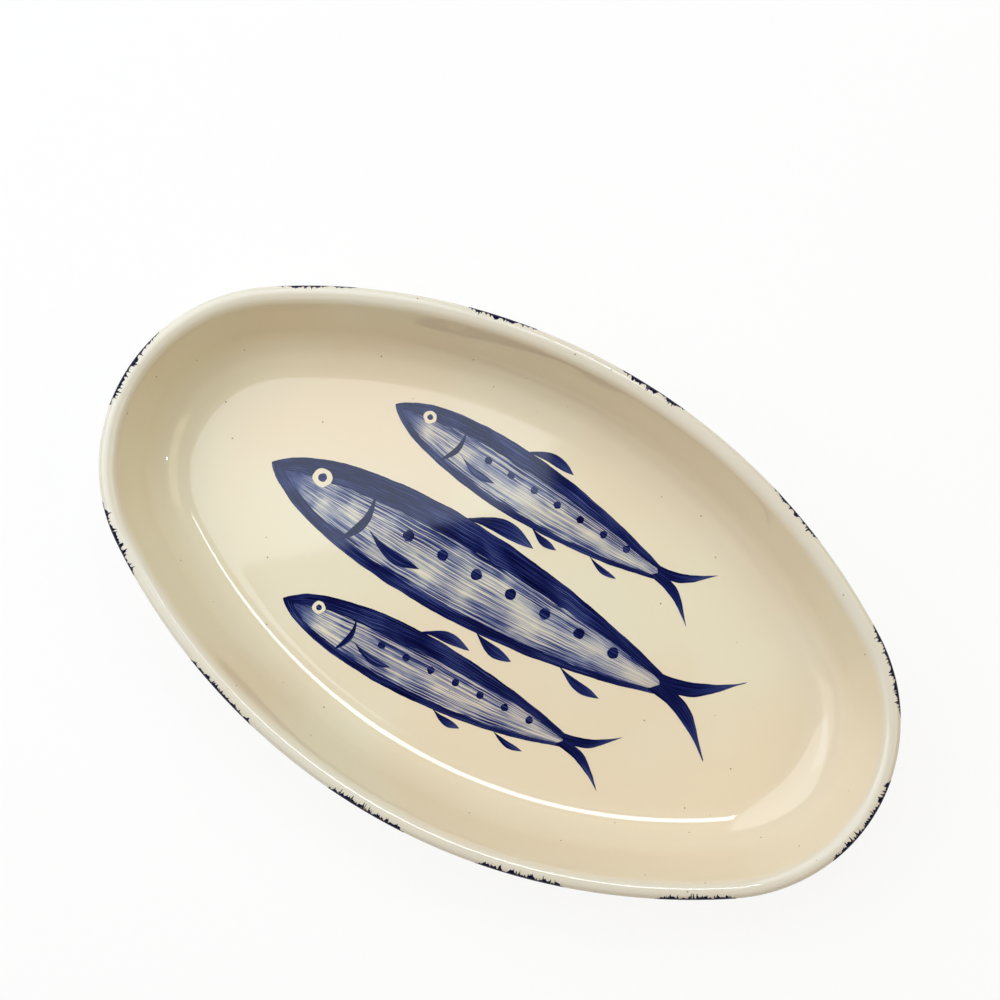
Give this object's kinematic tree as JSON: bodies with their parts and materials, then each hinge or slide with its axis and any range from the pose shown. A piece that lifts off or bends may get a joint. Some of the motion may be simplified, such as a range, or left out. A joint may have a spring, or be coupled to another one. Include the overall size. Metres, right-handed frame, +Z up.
{
  "type": "oval serving platter",
  "caption": "Deep oval glazed earthenware platter with a sloping wall, rolled lip and foot ring, painted with cobalt fish and brushed rim dabs, for serving food.",
  "frame": {"origin": "on the table, under the middle of the platter", "axes": "+X along the platter's length, towards the painted fish's tails; +Y across it; +Z up"},
  "size_m": [0.4, 0.235, 0.052],
  "materials": {
    "fired_clay": "unglazed buff earthenware",
    "cream_glaze": "glossy cream glaze",
    "cobalt_rim": "dry-brushed cobalt under clear glaze",
    "cobalt_wash": "streaky thin cobalt under clear glaze",
    "cobalt_dark": "full-strength cobalt under clear glaze",
    "cobalt_fins": "brushed cobalt under clear glaze"
  },
  "bodies": {
    "root": {"clay_body": "fired_clay", "inside_glaze": "cream_glaze", "outside_glaze": "cream_glaze", "base_glaze": "cream_glaze", "rim_brush_marks": "cobalt_rim", "upper_fish_flank": "cobalt_wash", "upper_fish_back": "cobalt_dark", "upper_fish_fins": "cobalt_fins", "middle_fish_flank": "cobalt_wash", "middle_fish_back": "cobalt_dark", "middle_fish_fins": "cobalt_fins", "lower_fish_flank": "cobalt_wash", "lower_fish_back": "cobalt_dark", "lower_fish_fins": "cobalt_fins"}
  },
  "joints": []
}
